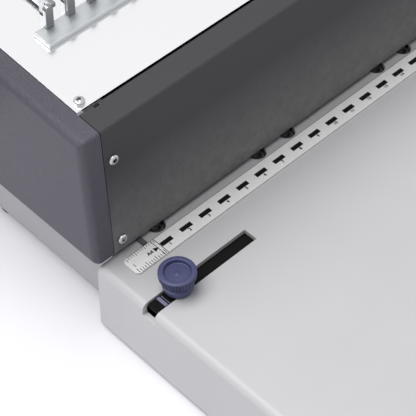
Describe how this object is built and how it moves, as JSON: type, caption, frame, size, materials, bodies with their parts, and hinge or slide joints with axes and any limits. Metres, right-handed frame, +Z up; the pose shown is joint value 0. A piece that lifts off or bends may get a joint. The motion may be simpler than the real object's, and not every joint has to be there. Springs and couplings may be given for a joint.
{
  "type": "comb binding machine",
  "caption": "Manual comb binding machine: a lever punches a row of rectangular holes in paper, and a second lever opens plastic combs on the sloping top.",
  "frame": {"origin": "on the table, under the middle punched hole, half way along the machine's depth", "axes": "+X to the right along the row of holes, +Y to the back, +Z up"},
  "size_m": [0.4171, 0.3552, 0.3638],
  "materials": {
    "light_grey_plastic": "fine texture",
    "light_grey_paint": "satin",
    "dark_paint": "fine texture",
    "dark_plastic": "fine texture",
    "polished_steel": "polished",
    "printed_aluminium": "satin, printed",
    "rubber": "matte",
    "chrome": "polished",
    "zinc_steel": "zinc plated",
    "tool_steel": "ground",
    "spring_steel": "oiled",
    "black_oxide": "blackened",
    "bronze": "oiled",
    "black_plastic": "satin",
    "blue_plastic": "satin",
    "index_plastic": "satin",
    "drawer_plastic": "satin"
  },
  "bodies": {
    "chassis": {"rubber_feet": "rubber", "base_plate": "light_grey_paint", "base_tray": "light_grey_plastic", "base_screws": "zinc_steel", "scale_strip": "printed_aluminium", "left_side_plate": "light_grey_paint", "right_side_plate": "light_grey_paint", "cross_rail": "zinc_steel", "die_block": "tool_steel", "die_screws": "black_oxide", "throat_spacers": "zinc_steel", "stripper_plate": "tool_steel", "back_stop": "zinc_steel", "guide_rods": "tool_steel", "return_springs": "spring_steel", "main_bushes": "bronze", "opener_bushes": "bronze", "top_plate": "polished_steel", "top_plate_screws": "chrome", "finger_bar": "zinc_steel", "comb_fingers": "tool_steel", "slide_rails": "zinc_steel", "front_cover": "dark_paint", "front_cover_screws": "chrome", "rear_cover": "dark_paint", "rear_cover_screws": "chrome", "lower_rear_panel": "light_grey_paint", "left_end_cap": "dark_plastic", "right_end_cap": "dark_plastic", "end_cap_screws": "zinc_steel"},
    "punch_slide": {"punch_beam": "zinc_steel", "pin_retainer": "zinc_steel", "punch_pins": "tool_steel", "cam_pads": "zinc_steel"},
    "punch_lever": {"main_shaft": "tool_steel", "cams": "tool_steel", "punch_lever_hub": "black_plastic", "punch_lever_arm": "chrome", "punch_lever_grip": "blue_plastic", "punch_lever_hub_screw": "chrome"},
    "opener_lever": {"opener_shaft": "tool_steel", "opener_cranks": "tool_steel", "crank_pins": "tool_steel", "opener_lever_hub": "black_plastic", "opener_lever_arm": "chrome", "opener_lever_grip": "blue_plastic", "opener_lever_hub_screw": "chrome"},
    "hook_slide": {"hook_slide": "zinc_steel", "opener_hooks": "tool_steel", "slide_forks": "zinc_steel"},
    "edge_guide": {"edge_guide_carriage": "black_plastic", "edge_guide_index": "index_plastic", "edge_stop": "black_oxide"},
    "edge_guide_knob": {"edge_guide_knob": "blue_plastic", "knob_stud": "tool_steel"},
    "waste_drawer": {"waste_drawer": "drawer_plastic"}
  },
  "joints": [
    {"name": "punch_lever", "type": "hinge", "parent": "chassis", "child": "punch_lever", "pos_m": [0, 0.05, 0.10749], "axis": [1, 0, 0], "range_deg": [0, 75]},
    {"name": "punch_slide", "type": "slide", "parent": "chassis", "child": "punch_slide", "axis": [0, 0, -1], "range_m": [0, 0.0086], "stiffness_N_per_m": 2000, "springref_m": -0.005, "deforming": ["return_springs"]},
    {"name": "opener_lever", "type": "hinge", "parent": "chassis", "child": "opener_lever", "pos_m": [0, 0.13608, 0.11621], "axis": [-1, 0, 0], "range_deg": [0, 60]},
    {"name": "hook_slide", "type": "slide", "parent": "chassis", "child": "hook_slide", "axis": [0, 0.9966, 0.0819], "range_m": [0, 0.0242]},
    {"name": "edge_guide", "type": "slide", "parent": "chassis", "child": "edge_guide", "axis": [1, 0, 0], "range_m": [-0.004, 0.04]},
    {"name": "edge_guide_knob", "type": "hinge", "parent": "edge_guide", "child": "edge_guide_knob", "pos_m": [-0.1597, -0.0136, 0.048], "axis": [0, 0, 1], "range_deg": [0, 180]},
    {"name": "waste_drawer", "type": "slide", "parent": "chassis", "child": "waste_drawer", "axis": [1, 0, 0], "range_m": [0, 0.24]}
  ],
  "couplings": [
    {"joint": "punch_slide", "follows": "punch_lever", "m_per_rad": 0.0064935},
    {"joint": "hook_slide", "follows": "opener_lever", "m_per_rad": 0.022918}
  ]
}
